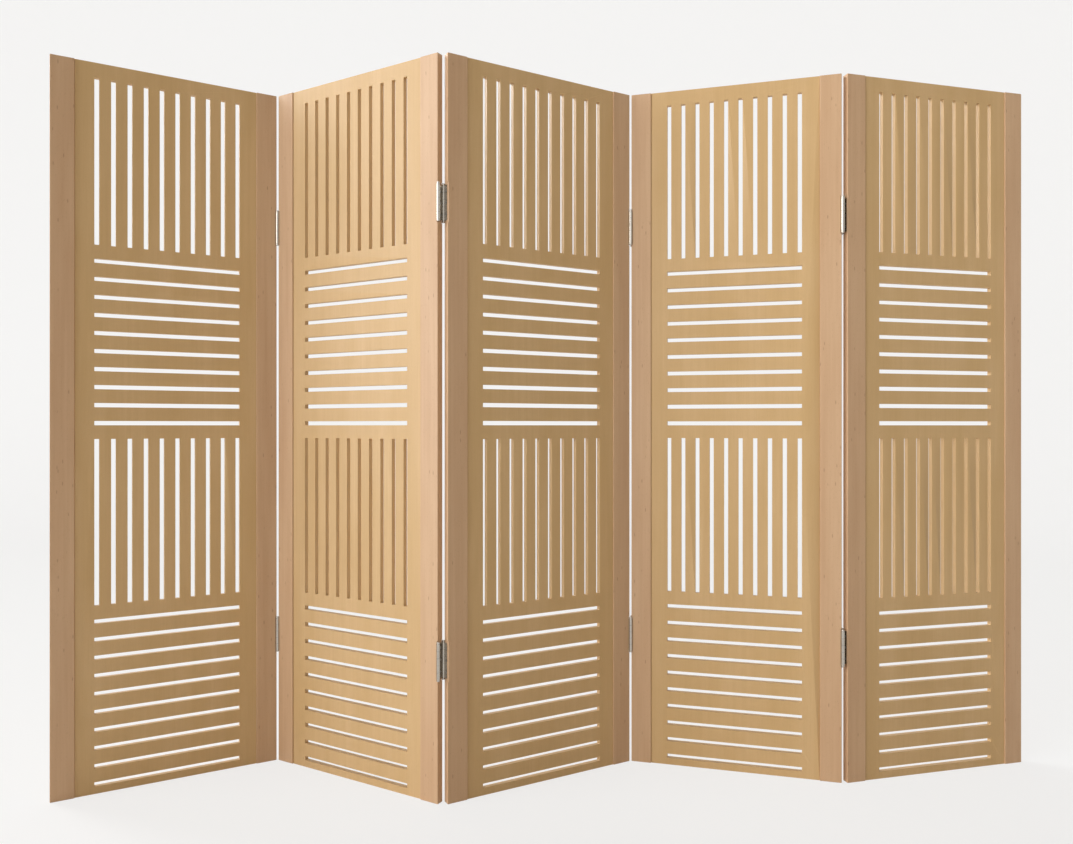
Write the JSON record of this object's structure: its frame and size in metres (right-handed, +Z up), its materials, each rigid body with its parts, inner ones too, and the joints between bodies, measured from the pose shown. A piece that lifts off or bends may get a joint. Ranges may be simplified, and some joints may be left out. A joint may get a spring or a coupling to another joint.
{
  "type": "slatted folding screen",
  "caption": "Free-standing zigzag room divider: tall slotted wooden panels between upright stiles, joined by two-way hinges that fold either way.",
  "frame": {"origin": "on the floor under the middle of the screen's bounding box, in its rest pose", "axes": "+Z up, +X across the screen to the right as its front is seen, -Y out of its front"},
  "size_m": [2.3454, 0.2834, 1.7],
  "materials": {
    "board": "satin lacquered light veneer",
    "stile": "satin lacquered beech",
    "hinge": "polished nickel plate",
    "screw": "zinc plated steel"
  },
  "bodies": {
    "panel_1": {"board_1": "board", "left_stile_1": "stile", "right_stile_1": "stile", "hinge_12_front_leaves": "hinge", "hinge_12_front_screws": "screw", "hinge_12_front_pins": "hinge", "hinge_12_front_tips": "hinge"},
    "panel_2": {"board_2": "board", "left_stile_2": "stile", "right_stile_2": "stile", "hinge_23_front_leaves": "hinge", "hinge_23_front_screws": "screw", "hinge_23_front_pins": "hinge", "hinge_23_front_tips": "hinge", "hinge_12_back_leaves": "hinge", "hinge_12_back_screws": "screw", "hinge_12_back_pins": "hinge", "hinge_12_back_tips": "hinge"},
    "panel_3": {"board_3": "board", "left_stile_3": "stile", "right_stile_3": "stile", "hinge_34_front_leaves": "hinge", "hinge_34_front_screws": "screw", "hinge_34_front_pins": "hinge", "hinge_34_front_tips": "hinge", "hinge_23_back_leaves": "hinge", "hinge_23_back_screws": "screw", "hinge_23_back_pins": "hinge", "hinge_23_back_tips": "hinge"},
    "panel_4": {"board_4": "board", "left_stile_4": "stile", "right_stile_4": "stile", "hinge_45_front_leaves": "hinge", "hinge_45_front_screws": "screw", "hinge_45_front_pins": "hinge", "hinge_45_front_tips": "hinge", "hinge_34_back_leaves": "hinge", "hinge_34_back_screws": "screw", "hinge_34_back_pins": "hinge", "hinge_34_back_tips": "hinge"},
    "panel_5": {"board_5": "board", "left_stile_5": "stile", "right_stile_5": "stile", "hinge_45_back_leaves": "hinge", "hinge_45_back_screws": "screw", "hinge_45_back_pins": "hinge", "hinge_45_back_tips": "hinge"},
    "link_12": {"hinge_12_links": "hinge"},
    "link_23": {"hinge_23_links": "hinge"},
    "link_34": {"hinge_34_links": "hinge"},
    "link_45": {"hinge_45_links": "hinge"}
  },
  "joints": [
    {"name": "back_fold_23", "type": "hinge", "parent": "panel_3", "child": "link_23", "pos_m": [-0.27209, -0.11984, 0.8425], "axis": [0, 0, -1], "range_deg": [-60, 118]},
    {"name": "front_fold_23", "type": "hinge", "parent": "link_23", "child": "panel_2", "pos_m": [-0.28209, -0.13716, 0.8425], "axis": [0, 0, 1], "range_deg": [0, 178]},
    {"name": "back_fold_12", "type": "hinge", "parent": "panel_2", "child": "link_12", "pos_m": [-0.71376, 0.13516, 0.8425], "axis": [0, 0, -1], "range_deg": [0, 178]},
    {"name": "front_fold_12", "type": "hinge", "parent": "link_12", "child": "panel_1", "pos_m": [-0.72376, 0.11784, 0.8425], "axis": [0, 0, 1], "range_deg": [-60, 118]},
    {"name": "front_fold_34", "type": "hinge", "parent": "panel_3", "child": "link_34", "pos_m": [0.17958, 0.11784, 0.8425], "axis": [0, 0, -1], "range_deg": [-45, 133]},
    {"name": "back_fold_34", "type": "hinge", "parent": "link_34", "child": "panel_4", "pos_m": [0.18476, 0.13716, 0.8425], "axis": [0, 0, 1], "range_deg": [0, 178]},
    {"name": "front_fold_45", "type": "hinge", "parent": "panel_4", "child": "link_45", "pos_m": [0.67221, -0.01416, 0.8425], "axis": [0, 0, -1], "range_deg": [0, 178]},
    {"name": "back_fold_45", "type": "hinge", "parent": "link_45", "child": "panel_5", "pos_m": [0.67738, 0.00516, 0.8425], "axis": [0, 0, 1], "range_deg": [-30, 148]}
  ]
}
